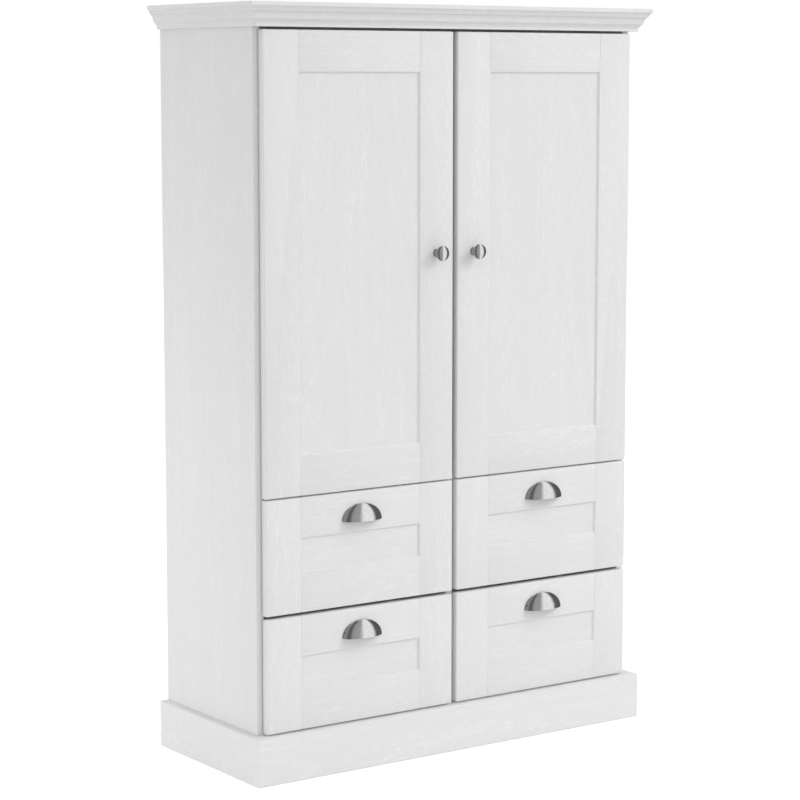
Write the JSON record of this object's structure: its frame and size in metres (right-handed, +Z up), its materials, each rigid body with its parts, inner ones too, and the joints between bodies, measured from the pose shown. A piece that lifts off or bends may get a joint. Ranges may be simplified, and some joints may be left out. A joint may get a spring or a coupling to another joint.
{
  "type": "armoire",
  "caption": "Free-standing painted armoire: framed doors over shelves, drawers below with cup pulls, moulded cornice and plinth.",
  "frame": {"origin": "on the floor, at the centre of the overall width and depth", "axes": "+Z up, +X to the right of someone looking at the doors, who looks along +Y"},
  "size_m": [0.934, 0.382, 1.44],
  "materials": {
    "white_board": "white laminated board with a fine pressed wood grain, satin",
    "hardboard": "white-faced thin hardboard, matt",
    "brushed_nickel": "satin brushed nickel",
    "hinge_steel": "bright zinc-plated pressed steel",
    "runner_steel": "white epoxy-coated steel"
  },
  "bodies": {
    "carcass": {"side_panel_left": "white_board", "side_panel_right": "white_board", "bottom_panel": "white_board", "top_board": "white_board", "cornice_rail": "white_board", "middle_panel": "white_board", "drawer_divider": "white_board", "back_panel": "hardboard", "cornice_front": "white_board", "cornice_left": "white_board", "cornice_right": "white_board", "plinth_front": "white_board", "plinth_left": "white_board", "plinth_right": "white_board", "shelf_lower": "white_board", "shelf_upper": "white_board", "hinge_arm_left_lower": "hinge_steel", "hinge_arm_left_upper": "hinge_steel", "hinge_arm_right_lower": "hinge_steel", "hinge_arm_right_upper": "hinge_steel", "runner_upper_left_a": "runner_steel", "runner_upper_left_b": "runner_steel", "runner_lower_left_a": "runner_steel", "runner_lower_left_b": "runner_steel", "runner_upper_right_a": "runner_steel", "runner_upper_right_b": "runner_steel", "runner_lower_right_a": "runner_steel", "runner_lower_right_b": "runner_steel"},
    "door_left": {"door_left_hinge_stile": "white_board", "door_left_closing_stile": "white_board", "door_left_top_rail": "white_board", "door_left_bottom_rail": "white_board", "door_left_panel": "white_board", "knob_left": "brushed_nickel", "hinge_cup_left_lower": "hinge_steel", "hinge_cup_left_upper": "hinge_steel"},
    "door_right": {"door_right_hinge_stile": "white_board", "door_right_closing_stile": "white_board", "door_right_top_rail": "white_board", "door_right_bottom_rail": "white_board", "door_right_panel": "white_board", "knob_right": "brushed_nickel", "hinge_cup_right_lower": "hinge_steel", "hinge_cup_right_upper": "hinge_steel"},
    "drawer_upper_left": {"drawer_upper_left_front": "white_board", "drawer_upper_left_box": "white_board", "drawer_upper_left_bottom": "hardboard", "drawer_upper_left_pull": "brushed_nickel"},
    "drawer_lower_left": {"drawer_lower_left_front": "white_board", "drawer_lower_left_box": "white_board", "drawer_lower_left_bottom": "hardboard", "drawer_lower_left_pull": "brushed_nickel"},
    "drawer_upper_right": {"drawer_upper_right_front": "white_board", "drawer_upper_right_box": "white_board", "drawer_upper_right_bottom": "hardboard", "drawer_upper_right_pull": "brushed_nickel"},
    "drawer_lower_right": {"drawer_lower_right_front": "white_board", "drawer_lower_right_box": "white_board", "drawer_lower_right_bottom": "hardboard", "drawer_lower_right_pull": "brushed_nickel"}
  },
  "joints": [
    {"name": "door_left_hinge", "type": "hinge", "parent": "carcass", "child": "door_left", "pos_m": [-0.4295, -0.148, 0.964], "axis": [0, 0, -1], "range_deg": [0, 95]},
    {"name": "door_right_hinge", "type": "hinge", "parent": "carcass", "child": "door_right", "pos_m": [0.4295, -0.148, 0.964], "axis": [0, 0, 1], "range_deg": [0, 95]},
    {"name": "drawer_upper_left_slide", "type": "slide", "parent": "carcass", "child": "drawer_upper_left", "axis": [0, -1, 0], "range_m": [0, 0.22]},
    {"name": "drawer_lower_left_slide", "type": "slide", "parent": "carcass", "child": "drawer_lower_left", "axis": [0, -1, 0], "range_m": [0, 0.22]},
    {"name": "drawer_upper_right_slide", "type": "slide", "parent": "carcass", "child": "drawer_upper_right", "axis": [0, -1, 0], "range_m": [0, 0.22]},
    {"name": "drawer_lower_right_slide", "type": "slide", "parent": "carcass", "child": "drawer_lower_right", "axis": [0, -1, 0], "range_m": [0, 0.22]}
  ]
}
